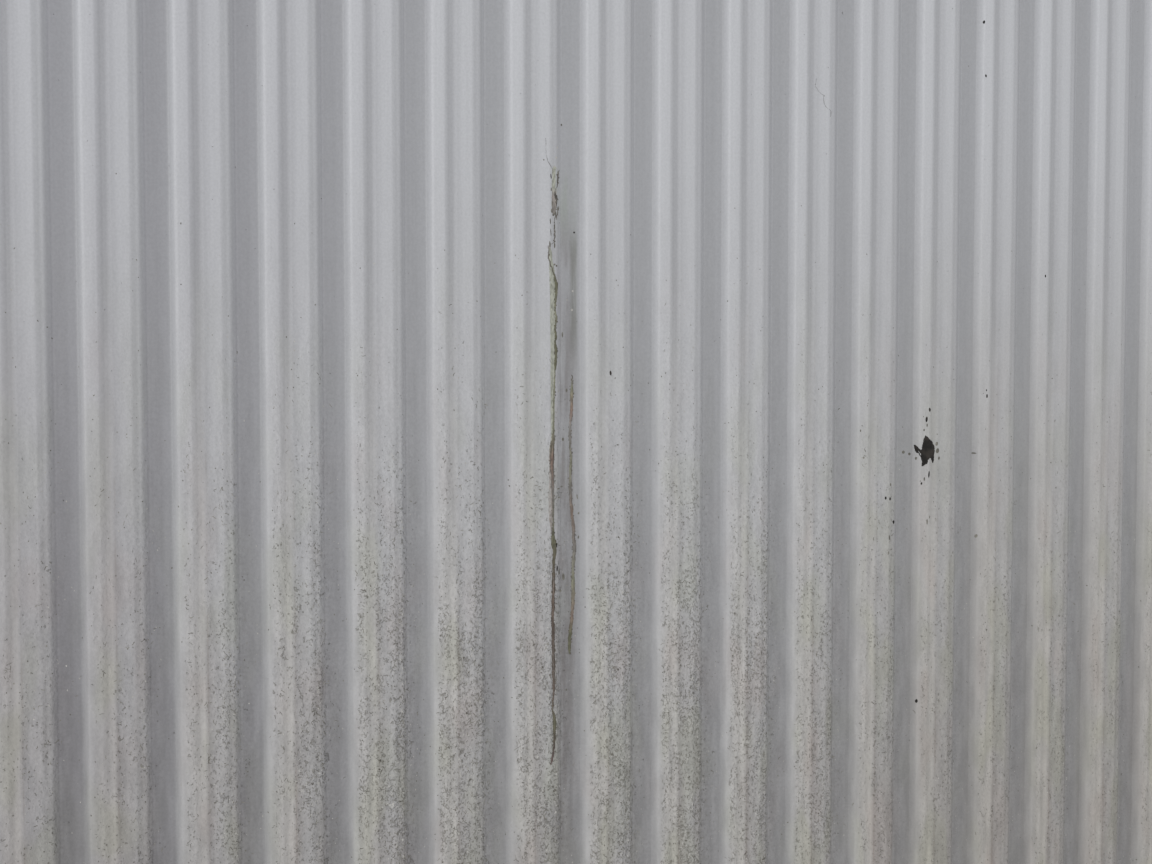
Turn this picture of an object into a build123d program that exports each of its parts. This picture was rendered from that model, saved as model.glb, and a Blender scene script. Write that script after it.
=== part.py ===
from build123d import *
import os

# One ribbed sheet of thin painted steel, lying flat with its painted face up.
# Millimetres. The ribs run along Y, the section repeats along X, and +Z is up.
# The origin is at the middle of the underside, on the plane that the troughs rest on.

# The whole sheet
sheet_length = 1800.0
rib_count = 26
steel_thickness = 0.5

# Levels of the painted face, above the painted face of a trough
crest_height = 2.6
ledge_height = 1.8
groove_depth = 0.6

# Runs of one rib across the sheet, left to right
rising_flank_width = 2.3
narrow_crest_width = 4.7
groove_near_side_width = 2.0
groove_floor_width = 1.5
groove_far_side_width = 1.4
wide_crest_width = 6.4
shoulder_width = 1.9
ledge_width = 1.5
falling_flank_width = 2.0
trough_width = 8.3

# Radii of the painted face where it bends: softer up on the rib than at its feet
crest_bend_radius = 1.8
foot_bend_radius = 1.0

# The painted face of the troughs is one thickness above the floor
trough_level = steel_thickness
crest_level = trough_level + crest_height
ledge_level = trough_level + ledge_height
groove_level = crest_level - groove_depth

# Each run of a rib: its width, the level that it ends at, and the bend at its end
rib_runs = (
    (rising_flank_width, crest_level, crest_bend_radius),
    (narrow_crest_width, crest_level, crest_bend_radius),
    (groove_near_side_width, groove_level, crest_bend_radius),
    (groove_floor_width, groove_level, crest_bend_radius),
    (groove_far_side_width, crest_level, crest_bend_radius),
    (wide_crest_width, crest_level, crest_bend_radius),
    (shoulder_width, ledge_level, crest_bend_radius),
    (ledge_width, ledge_level, crest_bend_radius),
    (falling_flank_width, trough_level, foot_bend_radius),
    (trough_width, trough_level, foot_bend_radius),
)
pitch = sum(width for width, level, bend in rib_runs)

# A trough runs along both long edges, so that the next sheet laps over one trough
sheet_width = rib_count * pitch + trough_width

# The painted face across the sheet: the first trough, then every rib with its trough
x = -sheet_width / 2
corners = [(x, trough_level)]
x += trough_width
corners.append((x, trough_level))
bends = [foot_bend_radius]
for rib in range(rib_count):
    for width, level, bend in rib_runs:
        x += width
        corners.append((x, level))
        bends.append(bend)

# The last corner is the cut edge of the sheet, which has no bend
bends.pop()

# The rolled sheet: the painted face, bent round its corners, and the steel below it
with BuildPart() as corrugated_sheet:
    with BuildSketch(Plane.XZ.offset(-sheet_length / 2)):
        with BuildLine():
            FilletPolyline(*corners, radius=bends)
            offset(amount=steel_thickness, side=Side.RIGHT)
        make_face()
    extrude(amount=sheet_length)

corrugated_sheet.part.label = "corrugated_sheet"

os.makedirs("parts", exist_ok=True)
export_step(corrugated_sheet.part, "parts/corrugated_sheet.step")
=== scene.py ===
import math
import random

import bpy
from mathutils import Matrix, Vector


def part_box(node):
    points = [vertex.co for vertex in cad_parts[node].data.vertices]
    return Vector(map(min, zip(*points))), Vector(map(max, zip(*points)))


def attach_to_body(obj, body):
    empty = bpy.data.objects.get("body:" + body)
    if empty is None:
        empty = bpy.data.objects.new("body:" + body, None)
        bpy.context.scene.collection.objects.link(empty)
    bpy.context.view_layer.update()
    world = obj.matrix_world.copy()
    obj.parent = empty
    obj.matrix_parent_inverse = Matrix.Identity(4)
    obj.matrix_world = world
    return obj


# A ribbed sheet of painted steel lying flat, seen from close above.
# Metres, in the frame of the part: ribs along Y, section along X, painted face up.

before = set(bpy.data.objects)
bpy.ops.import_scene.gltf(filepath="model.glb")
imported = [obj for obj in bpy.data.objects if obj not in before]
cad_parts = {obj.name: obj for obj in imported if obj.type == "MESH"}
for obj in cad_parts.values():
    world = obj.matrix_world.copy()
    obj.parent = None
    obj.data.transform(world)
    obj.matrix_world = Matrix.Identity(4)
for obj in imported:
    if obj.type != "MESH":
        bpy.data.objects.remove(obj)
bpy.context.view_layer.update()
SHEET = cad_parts["corrugated_sheet"]
SHEET_LOW, SHEET_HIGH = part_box("corrugated_sheet")
MM = 0.001

# The rolled section: the pitch, and the places of its bends from the left foot of a rib
PITCH = 32.0 * MM
TROUGH_WIDTH = 8.3 * MM
FLANK_TOP = 2.3 * MM
NARROW_CREST_END = 7.0 * MM
GROOVE_FLOOR_START = 9.0 * MM
GROOVE_FLOOR_END = 10.5 * MM
WIDE_CREST_START = 11.9 * MM
WIDE_CREST_END = 18.3 * MM
LEDGE_START = 20.2 * MM
LEDGE_END = 21.7 * MM
FAR_FOOT = PITCH - TROUGH_WIDTH
TROUGH_MIDDLE = PITCH - TROUGH_WIDTH / 2
FIRST_RIB_X = SHEET_LOW.x + TROUGH_WIDTH

# The photographed area: the rib at its left edge, and the height on the sheet at its middle
LEFT_RIB = 6
MIDDLE_Y = -550.0 * MM

# The camera: a short lens close to the sheet, turned to the right and a little down
FRAME_WIDTH_PX = 1152
FOCAL_PX = 1100
CAMERA_PITCHES_RIGHT = 1.783
CAMERA_PITCHES_UP = 13.72
CAMERA_YAW = math.radians(16.9)
CAMERA_TILT = math.radians(-1.88)
SENSOR_WIDTH_MM = 36.0
NEAREST_SEEN = 0.01
FARTHEST_SEEN = 50.0

# The light: an even room, and one large softbox at the left
ROOM_COLOUR = (1.0, 1.0, 1.0, 1.0)
ROOM_STRENGTH = 0.80
SOFTBOX_SIZE = (2.0, 4.0)
SOFTBOX_POWER = 30.0
SOFTBOX_PLACE = (-1.9, MIDDLE_Y, 1.8)
FLOOR_SIZE = 12.0
FLOOR_GREY = (0.62, 0.62, 0.61, 1.0)

# Paint colours, and the colours that dirt leaves on them
# The trough paint is darker and bluer than the chalked paint as painted shade for the recessed troughs; the
# chalked paint is also the painted highlight at the flank top
SHADED_TROUGH_PAINT = (0.317, 0.322, 0.339, 1.0)
CHALKED_LIT_PAINT = (0.472, 0.480, 0.503, 1.0)
# The grey film is partly dirt and partly painted shade that darkens the sheet towards its lower end
GREY_FILM_AND_SHADE = (0.690, 0.675, 0.653, 1.0)
PALE_DUST = (0.564, 0.560, 0.555, 1.0)
MUD_FILM = (0.840, 0.790, 0.755, 1.0)
# Darkens the left of the sheet, most in the troughs
LEFTWARD_DARKENING = (0.825, 0.815, 0.835, 1.0)
LOWER_LEFT_FILM = (0.910, 0.900, 0.905, 1.0)
RIGHT_FILM = (0.870, 0.850, 0.818, 1.0)
OLIVE_FILM = (0.955, 0.967, 0.905, 1.0)
PINK_FILM = (0.987, 0.953, 0.943, 1.0)
SMUDGE_FILM = (0.890, 0.878, 0.870, 1.0)
GROOVE_LINE_MUD = (0.900, 0.875, 0.850, 1.0)
SPECK_SHADE = (0.660, 0.650, 0.615, 1.0)
# Pale crumbs are partly pale dirt and partly painted highlights of raised crumbs
PALE_CRUMB_AND_HIGHLIGHT = (0.470, 0.460, 0.435, 1.0)
DRIP_SMEAR_FILM = (0.725, 0.735, 0.685, 1.0)
DARK_SPECK_SHADE = (0.430, 0.410, 0.375, 1.0)
GREEN_WASH = (0.890, 0.935, 0.850, 1.0)
BROWN_WASH = (0.720, 0.692, 0.679, 1.0)
BACKING_COAT = (0.420, 0.415, 0.390, 1.0)
BARE_STEEL = (0.560, 0.560, 0.550, 1.0)

# Dried dirt: its darkest and its palest colour, and the grain of its patches
DRIED_GRIT = ((0.108, 0.103, 0.088, 1.0), (0.245, 0.236, 0.208, 1.0), 2.5 * MM)
# The pale grit's palest colour is the same pale crumb colour, partly a painted highlight
PALE_GRIT = ((0.330, 0.320, 0.300, 1.0), PALE_CRUMB_AND_HIGHLIGHT, 2.5 * MM)
DRIED_THREADS = ((0.175, 0.167, 0.145, 1.0), (0.265, 0.255, 0.228, 1.0), 3.0 * MM)
DRIP_BEADS = ((0.070, 0.060, 0.050, 1.0), (0.170, 0.150, 0.120, 1.0), 4.0 * MM)
DARK_SPATTER = ((0.013, 0.012, 0.011, 1.0), (0.036, 0.031, 0.027, 1.0), 4.0 * MM)
HAIR_MARKS = ((0.200, 0.200, 0.205, 1.0), (0.300, 0.300, 0.300, 1.0), 1.0 * MM)

# How rough each surface is, and how high the dirt of the finish stands
CLEAN_ROUGHNESS = 0.48
DULL_ROUGHNESS = 0.80
DIRT_ROUGHNESS = 0.9
DIRT_SPECULAR = 0.25
DRIP_ROUGHNESS = 0.7
FLOOR_ROUGHNESS = 0.8
SPECK_RELIEF = 0.20 * MM
CRUST_RELIEF = 1.30 * MM
GRAIN_RELIEF = 0.02 * MM

# Patches in the finishes: their grain, how far they are drawn out along the ribs, seed and detail
STREAKS = (0.9 * MM, 60.0, 3.0, 1.0)
PAINT_GRAIN = (0.8 * MM, 1.2, 11.0, 2.0)
CLOUD = (9.0 * MM, 5.0, 21.0, 1.0)
HAZE = (3.5 * MM, 5.0, 121.0, 1.0)
TINTS = (14.0 * MM, 3.0, 31.0, 1.0)
LINE_GAPS = (2.5 * MM, 6.0, 141.0, 1.0)
SMUDGE = (2.4 * MM, 0.5, 131.0, 2.0)
WASH_RUNS = (2.2 * MM, 12.0, 81.0, 2.0)
CLUMPS = (4.5 * MM, 4.0, 101.0, 1.0)
CRUST = (1.3 * MM, 1.25, 71.0, 2.0)
CROOKED_LINES = (1.7 * MM, 1.2, 41.0, 2.0)
LINE_BREAKS = (1.2 * MM, 1.3, 111.0, 1.0)
SMALL_SPECKS = (0.9 * MM, 1.25, 43.0, 2.0)
DRIP_SHADES = (0.8 * MM, 2.5, 91.0, 3.0)
DIRT_SEED = 61.0

# Patches turned into an effect: from and to in the patches, then what it is at either end
STREAK_SHADE = (0.3, 0.7, 0.985, 1.012)
GRAIN_SHADE = (0.25, 0.75, -0.045, 0.045)
DUST_IN_CLOUDS = (0.2, 0.55, 0.6, 1.0)
HAZE_SHADE = (0.25, 0.75, -0.09, 0.09)
MUD_EDGE_STRAY = (0.2, 0.8, 60.0 * MM, -60.0 * MM)
OLIVE_SHARE = (0.5, 0.65)
PINK_SHARE = (0.45, 0.3)
LINE_SHARE = (0.3, 0.6)
SMUDGE_SHARE = (0.42, 0.72)
WASH_IN_RUNS = (0.35, 0.62, 0.15, 1.0)
SMEAR_IN_RUNS = (0.30, 0.60, 0.55, 1.0)
CROWDING_IN_CLUMPS = (0.3, 0.65, 0.7, 1.15)
CRUST_SHADE = (0.3, 0.7, -0.12, 0.12)
LINE_EDGE = (0.058, 0.018)
BREAK_EDGE = (0.0, 0.06)
SPECK_EDGE = (0.0, 0.08)
CRUMB_EDGE = (0.0, 0.07, 0.0, 0.75)
DARK_SPECK_EDGE = (0.0, 0.06)
BACKING_PATCHES = (0.3, 0.7, 0.0, 0.4)
DULL_FILM = (0.0, 1.0, 0.0, 0.8)
ROUGHNESS_PATCHES = (0.2, 0.8, -0.04, 0.04)
DIRT_SHARE = (0.4, 0.75)
DRIP_SHADE = (0.3, 0.7, 0.72, 1.30)

# Where in the patches each kind of mark starts, on clean paint and where the dirt is full
LINE_START = (0.78, 0.49)
SPECK_START = (0.78, 0.62)
CRUMB_START = (0.15, 0.41)
DARK_SPECK_START = (0.86, 0.66)

# How far a face has to turn from level to be a cut edge, as the height of its normal
EDGE_FACING = 0.3

# How far up the sheet each kind of dirt reaches: where it starts, and where it is full
# The grey film's reach is also where its painted shade grows
GREY_FILM_AND_SHADE_REACH = (-360.0 * MM, -760.0 * MM)
DUST_REACH = (-460.0 * MM, -680.0 * MM)
MUD_REACH = (-580.0 * MM, -780.0 * MM)
SPECK_REACH = (-440.0 * MM, -680.0 * MM)
# How far towards the left the darkening of the left of the sheet reaches
LEFTWARD_DARKENING_REACH = (-50.0 * MM, -190.0 * MM)
LOWER_LEFT_FILM_REACH = (-180.0 * MM, -212.0 * MM)
LOWER_LEFT_FILM_START = (-440.0 * MM, -620.0 * MM)
RIGHT_FILM_REACH = (45.0 * MM, 165.0 * MM)
RIGHT_FILM_START = (-380.0 * MM, -640.0 * MM)
LEFT_THINNING = (-100.0 * MM, -230.0 * MM, 1.0, 0.55)
RIGHT_THINNING = (0.0 * MM, 170.0 * MM, 1.0, 0.60)
SPLASH_RISE = 22.0 * MM
UPPER_WASH_START = (-437.0 * MM, -452.0 * MM)
UPPER_WASH_END = (-480.0 * MM, -452.0 * MM)
LOWER_WASH_START = (-452.0 * MM, -484.0 * MM)
LOWER_WASH_END = (-780.0 * MM, -640.0 * MM)
SMEAR_START = (-463.0 * MM, -475.0 * MM)
SMEAR_END = (-528.0 * MM, -502.0 * MM)
FILM_AND_SHADE_DELAY = 45.0 * MM

# How strong each effect is across one rib, from its left foot to the next
# Paint tone across a rib: chalk on the crests, painted shade darkening the groove, the ledge and the trough,
# a painted highlight at the flank top, and painted light on the far wall and its foot that lifts the shade
# there
CHALK_AND_PAINTED_SHADE = (
    (0.0, 0.25),
    (FLANK_TOP * 0.5, 0.60),
    (FLANK_TOP, 1.0),
    (NARROW_CREST_END * 0.7, 1.0),
    (NARROW_CREST_END, 0.90),
    (GROOVE_FLOOR_START, 0.20),
    (GROOVE_FLOOR_END, 0.15),
    (WIDE_CREST_START, 0.52),
    (WIDE_CREST_END * 0.8, 0.87),
    (WIDE_CREST_END, 0.87),
    (LEDGE_START, 0.50),
    (LEDGE_END, 0.18),
    (LEDGE_END + 1.2 * MM, 0.56),
    (FAR_FOOT, 0.38),
    (FAR_FOOT + 0.9 * MM, 0.05),
    (TROUGH_MIDDLE, 0.0),
    (PITCH, 0.20),
)
DUST_SETTLING = (
    (0.0, 0.0),
    (FLANK_TOP, 0.2),
    (NARROW_CREST_END * 0.8, 0.75),
    (GROOVE_FLOOR_START, 1.0),
    (GROOVE_FLOOR_END, 1.0),
    (GROOVE_FLOOR_END + 0.8 * MM, 0.60),
    (WIDE_CREST_START, 0.28),
    (WIDE_CREST_END * 0.8, 0.20),
    (WIDE_CREST_END, 0.28),
    (LEDGE_END, 0.20),
    (FAR_FOOT, 0.0),
    (PITCH, 0.0),
)
MUD_SETTLING = (
    (0.0, 0.05),
    (FLANK_TOP, 0.0),
    (NARROW_CREST_END, 0.05),
    (GROOVE_FLOOR_END, 0.10),
    (WIDE_CREST_START - 0.4 * MM, 0.50),
    (WIDE_CREST_START + 0.1 * MM, 0.74),
    (WIDE_CREST_END * 0.8, 0.46),
    (WIDE_CREST_END, 0.2),
    (LEDGE_START, 0.4),
    (LEDGE_END, 0.5),
    (FAR_FOOT, 0.3),
    (FAR_FOOT + 1.5 * MM, 0.25),
    (TROUGH_MIDDLE, 0.12),
    (PITCH, 0.1),
)
GROOVE_LINE = (
    (0.0, 0.0),
    (WIDE_CREST_START - 0.45 * MM, 0.0),
    (WIDE_CREST_START, 1.0),
    (WIDE_CREST_START + 0.60 * MM, 0.0),
    (PITCH, 0.0),
)
TROUGH_SMUDGES = (
    (0.0, 0.0),
    (LEDGE_END, 0.0),
    (FAR_FOOT - 0.5 * MM, 1.0),
    (FAR_FOOT + 2.0 * MM, 0.8),
    (TROUGH_MIDDLE, 0.45),
    (PITCH, 0.15),
)
HIGHER_SPLASH = (
    (0.0, 0.0),
    (FLANK_TOP, 0.7),
    (NARROW_CREST_END * 0.6, 1.0),
    (NARROW_CREST_END, 1.0),
    (GROOVE_FLOOR_START, 0.5),
    (WIDE_CREST_START, 0.0),
    (PITCH, 0.0),
)
SPECK_SETTLING = (
    (0.0, 0.05),
    (FLANK_TOP * 1.3, 0.25),
    (NARROW_CREST_END * 0.6, 0.74),
    (NARROW_CREST_END, 0.76),
    (GROOVE_FLOOR_START, 0.68),
    (GROOVE_FLOOR_END, 0.70),
    (WIDE_CREST_START, 0.95),
    (WIDE_CREST_END * 0.8, 0.80),
    (WIDE_CREST_END, 0.95),
    (LEDGE_START, 1.0),
    (LEDGE_END, 1.0),
    (FAR_FOOT, 0.60),
    (TROUGH_MIDDLE, 0.35),
    (PITCH, 0.15),
)
# How much the left of the sheet is darkened across a rib, most in the troughs
LEFTWARD_DARKENING_ACROSS = (
    (0.0, 0.0),
    (FLANK_TOP * 0.7, 0.0),
    (FLANK_TOP * 1.3, 0.30),
    (NARROW_CREST_END, 0.60),
    (WIDE_CREST_START, 0.45),
    (WIDE_CREST_END, 0.25),
    (LEDGE_START, 0.0),
    (LEDGE_END, 0.20),
    (FAR_FOOT, 0.90),
    (TROUGH_MIDDLE, 0.80),
    (PITCH - 1.0 * MM, 0.70),
    (PITCH, 0.0),
)
RIGHT_SETTLING = (
    (0.0, 0.9),
    (FLANK_TOP, 1.0),
    (NARROW_CREST_END, 0.7),
    (GROOVE_FLOOR_END, 0.6),
    (WIDE_CREST_START, 0.5),
    (WIDE_CREST_END, 0.9),
    (LEDGE_END, 0.5),
    (FAR_FOOT, 0.25),
    (TROUGH_MIDDLE, 0.4),
    (PITCH, 1.0),
)
TINTED_PATCHES = (
    (0.0, 0.2),
    (FLANK_TOP, 0.6),
    (NARROW_CREST_END, 1.0),
    (LEDGE_END, 1.0),
    (FAR_FOOT, 0.5),
    (PITCH, 0.3),
)
# Where across the rib the grey film and its painted shade start lower down the sheet
LATER_FILM_AND_SHADE = (
    (0.0, 0.8),
    (FLANK_TOP, 0.0),
    (LEDGE_START, 0.0),
    (LEDGE_END, 1.0),
    (FAR_FOOT, 0.4),
    (TROUGH_MIDDLE, 0.2),
    (PITCH - 2.0 * MM, 0.9),
    (PITCH, 0.8),
)
DRIP_SMEAR = (
    (0.0, 0.0),
    (27.2 * MM, 0.0),
    (28.4 * MM, 1.0),
    (30.2 * MM, 1.0),
    (31.3 * MM, 0.0),
    (PITCH, 0.0),
)
DRIP_WASH = (
    (0.0, 0.0),
    (WIDE_CREST_END, 0.0),
    (LEDGE_START, 0.40),
    (LEDGE_END + 1.2 * MM, 0.30),
    (FAR_FOOT + 0.2 * MM, 1.0),
    (FAR_FOOT + 1.4 * MM, 1.0),
    (TROUGH_MIDDLE, 0.80),
    (TROUGH_MIDDLE + 2.0 * MM, 0.5),
    (TROUGH_MIDDLE + 3.5 * MM, 0.0),
    (PITCH, 0.0),
)

# Drips that ran down one rib and dried. Each station is a height on the sheet,
# a place across the rib and a width, in millimetres, from the top down.
DRIP_RIB = 11
LEFT_DRIP = (
    (-442.5, 22.5, 0.5), (-444.5, 22.2, 0.9), (-447.0, 22.0, 0.6), (-449.0, 21.6, 0.1), (-451.0, 20.8, 0.1),
    (-452.0, 20.8, 0.7), (-453.5, 21.2, 1.1), (-455.5, 21.4, 0.6), (-457.0, 21.4, 0.1), (-457.8, 21.8, 0.5),
    (-460.5, 21.7, 0.7), (-461.2, 21.0, 0.9), (-462.0, 20.6, 0.1), (-466.0, 20.4, 0.2), (-468.0, 20.5, 0.4),
    (-470.0, 20.4, 0.2), (-471.0, 20.4, 0.5), (-472.3, 20.4, 0.2), (-472.8, 18.2, 0.1), (-474.0, 17.9, 0.5),
    (-478.5, 17.8, 0.6), (-481.0, 18.5, 0.3), (-482.5, 19.4, 0.7), (-486.0, 20.6, 0.9), (-489.5, 21.4, 1.2),
    (-493.0, 21.2, 1.1), (-498.0, 20.7, 0.8), (-504.0, 21.3, 1.1), (-507.0, 20.9, 0.9), (-511.0, 21.3, 1.2),
    (-513.0, 20.7, 0.8), (-516.0, 21.1, 1.1), (-522.0, 20.9, 1.2), (-525.0, 20.8, 0.3), (-529.0, 20.5, 0.4),
    (-533.0, 20.4, 0.8), (-539.0, 20.1, 0.7), (-547.0, 19.9, 0.8), (-551.0, 19.8, 1.3), (-557.0, 19.4, 1.9),
    (-560.0, 19.3, 2.1), (-565.0, 19.2, 2.1), (-569.0, 19.6, 1.6), (-575.0, 19.7, 1.3), (-578.5, 19.8, 1.1),
    (-585.0, 19.9, 1.0), (-590.5, 19.9, 1.2), (-594.0, 19.8, 1.9), (-596.0, 20.0, 2.4), (-599.5, 20.6, 1.8),
    (-603.0, 20.1, 1.2), (-608.0, 19.9, 1.3), (-613.0, 20.0, 1.6), (-619.0, 19.8, 1.5), (-627.0, 19.6, 1.4),
    (-633.0, 19.6, 1.6), (-641.0, 19.8, 1.5), (-648.0, 20.0, 1.3), (-653.0, 20.1, 1.3), (-658.0, 20.0, 1.0),
    (-663.0, 19.7, 0.9), (-665.5, 19.5, 0.9), (-668.5, 20.2, 1.2), (-671.0, 20.5, 1.5), (-675.5, 20.3, 1.3),
    (-680.0, 20.2, 1.2), (-684.0, 19.8, 1.2), (-686.5, 19.1, 0.9), (-688.0, 18.6, 0.5),
)
UPPER_DRIP_CORE = (
    (-553.5, 19.6, 0.2), (-557.0, 19.4, 1.0), (-560.0, 19.3, 1.2), (-565.0, 19.2, 1.2), (-569.0, 19.5, 0.8),
    (-574.0, 19.7, 0.2),
)
LOWER_DRIP_CORE = (
    (-607.0, 19.9, 0.2), (-611.0, 20.0, 0.8), (-619.0, 19.8, 0.8), (-627.0, 19.6, 0.7), (-633.0, 19.6, 0.8),
    (-641.0, 19.8, 0.7), (-648.0, 20.0, 0.6), (-655.0, 20.1, 0.2),
)
RIGHT_DRIP = (
    (-526.5, 28.6, 0.3), (-529.0, 28.5, 0.9), (-532.0, 28.5, 1.5), (-537.0, 28.4, 1.3), (-543.0, 28.2, 1.2),
    (-546.5, 27.8, 0.6), (-551.0, 27.6, 1.2), (-555.0, 27.7, 0.6), (-560.0, 28.2, 1.0), (-567.0, 27.8, 1.1),
    (-578.0, 27.9, 1.2), (-583.0, 28.4, 1.3), (-590.0, 29.1, 1.4), (-598.0, 29.5, 1.4), (-602.0, 29.4, 1.5),
    (-607.0, 29.0, 1.4), (-615.0, 28.9, 1.5), (-622.0, 29.0, 1.4), (-628.0, 28.4, 1.3), (-633.0, 27.9, 1.3),
    (-638.0, 27.5, 1.3), (-641.0, 27.4, 1.2), (-643.0, 27.4, 0.6),
)
FILM_BAND = (
    (-474.0, 18.4, 0.4), (-477.0, 18.6, 2.0), (-484.0, 19.0, 3.0), (-495.0, 19.4, 3.6), (-512.0, 19.5, 3.4),
    (-525.0, 19.5, 2.8), (-540.0, 19.5, 2.4), (-551.0, 19.6, 2.0), (-557.0, 18.7, 2.4), (-585.0, 18.7, 2.5),
    (-592.0, 18.9, 0.5),
)
UPPER_FILM = (
    (-441.2, 20.9, 0.8), (-442.2, 20.9, 3.4), (-447.0, 20.8, 3.6), (-452.0, 20.6, 3.2), (-457.0, 20.5, 3.3),
    (-459.6, 20.4, 2.8), (-460.6, 20.0, 0.6),
)
HAIR_MARK = (
    (-395.7, 11.9, 0.3), (-398.8, 11.4, 0.3), (-400.6, 12.5, 0.4), (-402.0, 13.9, 0.6),
    (-402.7, 15.7, 0.7), (-404.2, 15.4, 0.4), (-406.4, 15.6, 0.3), (-407.4, 16.4, 0.5),
    (-409.5, 19.4, 0.7), (-411.7, 19.1, 0.4),
)
HAIR_MARK_RIB = 15
UPPER_HAIR_MARK = (
    (-430.0, 16.5, 0.1), (-432.3, 16.7, 0.3), (-436.0, 16.7, 0.1), (-438.8, 17.4, 0.2), (-441.6, 19.0, 0.3),
    (-442.6, 20.0, 0.1),
)

# Colours of the dried drips, and where each comes down them, by height on the sheet in millimetres
DRIED_GREY = (0.150, 0.140, 0.128)
DRIED_BLACK = (0.060, 0.055, 0.048)
DRIED_OLIVE = (0.098, 0.096, 0.060)
PALE_OLIVE = (0.170, 0.170, 0.122)
DRIED_BROWN = (0.098, 0.074, 0.060)
DARK_BROWN = (0.071, 0.054, 0.041)
PLUM_BROWN = (0.095, 0.064, 0.062)
PALE_BROWN = (0.170, 0.128, 0.104)
ORANGE_BROWN = (0.190, 0.133, 0.108)
PALE_GREY = (0.225, 0.215, 0.203)
GREEN_FILM_COLOUR = (0.308, 0.316, 0.270)
BROWN_FILM_COLOUR = (0.255, 0.232, 0.216)
LEFT_DRIP_COLOURS = (
    (-443, DRIED_GREY), (-453, DRIED_BLACK), (-460, DRIED_GREY), (-474, DRIED_GREY), (-488, DRIED_OLIVE),
    (-500, PALE_OLIVE), (-508, DRIED_OLIVE), (-522, DRIED_OLIVE), (-527, PALE_OLIVE), (-547, PALE_OLIVE),
    (-560, DRIED_BROWN), (-575, DRIED_GREY), (-594, DRIED_OLIVE), (-613, DARK_BROWN), (-645, DARK_BROWN),
    (-660, DRIED_BROWN), (-671, DRIED_OLIVE), (-680, DARK_BROWN), (-688, PLUM_BROWN),
)
DRIP_CORE_COLOURS = (
    (-553, PALE_OLIVE), (-560, ORANGE_BROWN), (-574, PALE_BROWN), (-607, DRIED_GREY), (-619, PALE_BROWN),
    (-633, DRIED_BROWN), (-655, DRIED_GREY),
)
RIGHT_DRIP_COLOURS = (
    (-526, PALE_GREY), (-532, PALE_OLIVE), (-541, ORANGE_BROWN), (-548, PALE_GREY), (-553, DRIED_GREY),
    (-563, PALE_OLIVE), (-575, DRIED_GREY), (-583, PALE_BROWN), (-598, DRIED_GREY), (-612, PALE_OLIVE),
    (-627, PALE_BROWN), (-634, DRIED_OLIVE), (-643, DRIED_OLIVE),
)
UPPER_FILM_COLOURS = (
    (-441, GREEN_FILM_COLOUR), (-449, GREEN_FILM_COLOUR), (-453, BROWN_FILM_COLOUR), (-461, DRIED_GREY),
)
FILM_BAND_COLOURS = (
    (-474, GREEN_FILM_COLOUR), (-551, GREEN_FILM_COLOUR), (-560, BROWN_FILM_COLOUR),
    (-592, BROWN_FILM_COLOUR),
)
STRIP_STEP = 0.5 * MM
STRIP_COLUMNS = 4
RAGGED_STEP = 5
FINE_RAGGEDNESS = 0.14
COARSE_RAGGEDNESS = 0.22
STRIP_SINK = 0.02 * MM
STRIP_FULLNESS = (0.7, 1.0)
PROUD_LIMIT = 0.08 * MM
STRIP_THICKNESS = 0.06 * MM
DRIP_CROWN = 0.22 * MM
CORE_CROWN = 0.30 * MM
FILM_CROWN = 0.04 * MM

# One dark splash on a narrow crest: its middle and its outline, across the rib and along
# the sheet in millimetres, and the tails that it threw out
SPLAT_RIB = 17
SPLAT_MIDDLE = (6.4, -559.5)
SPLAT_OUTLINE = (
    (4.9, -552.3), (7.1, -554.2), (9.3, -556.1), (10.4, -558.8), (10.3, -562.0), (9.4, -564.0),
    (7.7, -563.8), (6.2, -565.2), (4.3, -566.4), (3.0, -564.8), (2.5, -562.8), (2.5, -561.0),
    (3.0, -559.3), (3.6, -556.5), (4.2, -554.2),
)
SPLAT_POINTS = 60
SPLAT_RING_WIDTHS = (0.08, 0.12, 0.14, 0.15, 0.15, 0.14, 0.12)
SPLAT_HEIGHT = 0.08 * MM
SPLAT_SEED = 5
SPLAT_OUTLINE_STRAY = (0.95, 1.04)
SPLAT_THINNING = (0.8, 1.0)
SPLAT_TAILS = {
    "dark_splat_left_tail": (
        (-557.4, 0.8, 0.6), (-558.6, 1.3, 1.5), (-560.2, 2.3, 3.0), (-561.8, 3.3, 4.4), (-563.4, 4.2, 5.0),
        (-565.0, 4.9, 4.2), (-566.2, 5.2, 2.0),
    ),
    "dark_splat_lower_tail": ((-562.6, 5.6, 4.4), (-564.6, 5.0, 4.0), (-566.0, 4.4, 2.8), (-567.2, 3.6, 0.8)),
    "dark_splat_right_tail": ((-561.5, 9.0, 2.4), (-564.0, 9.3, 1.8), (-565.8, 9.6, 0.8)),
}

# Single flecks: rib, place across it and height on the sheet, then width and length, in millimetres
DARK_FLECKS = (
    (17, 7.3, -541.3, 1.2, 1.9), (17, 5.6, -545.7, 1.2, 2.8), (17, 7.2, -571.0, 0.9, 3.2),
    (17, 3.2, -575.1, 0.9, 1.3), (16, 16.5, -581.3, 1.0, 1.5), (16, 19.0, -581.8, 1.3, 1.5),
    (16, 21.3, -592.5, 1.1, 1.7), (18, 6.1, -535.0, 0.9, 1.9),
    (18, 5.8, -532.3, 0.6, 1.0), (19, 5.9, -478.2, 0.8, 1.4), (18, 2.2, -362.7, 0.9, 1.6),
    (18, 3.4, -387.2, 0.9, 1.5), (17, 2.0, -675.8, 1.0, 1.8), (12, 12.6, -525.4, 0.9, 2.0),
    (11, 18.9, -445.2, 0.5, 2.2), (11, 20.3, -449.3, 0.5, 2.0), (11, 29.5, -467.3, 0.8, 0.9),
    (11, 21.4, -596.7, 0.6, 2.2), (11, 21.6, -606.5, 0.7, 2.6), (11, 21.0, -453.4, 0.7, 2.4),
)
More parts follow.
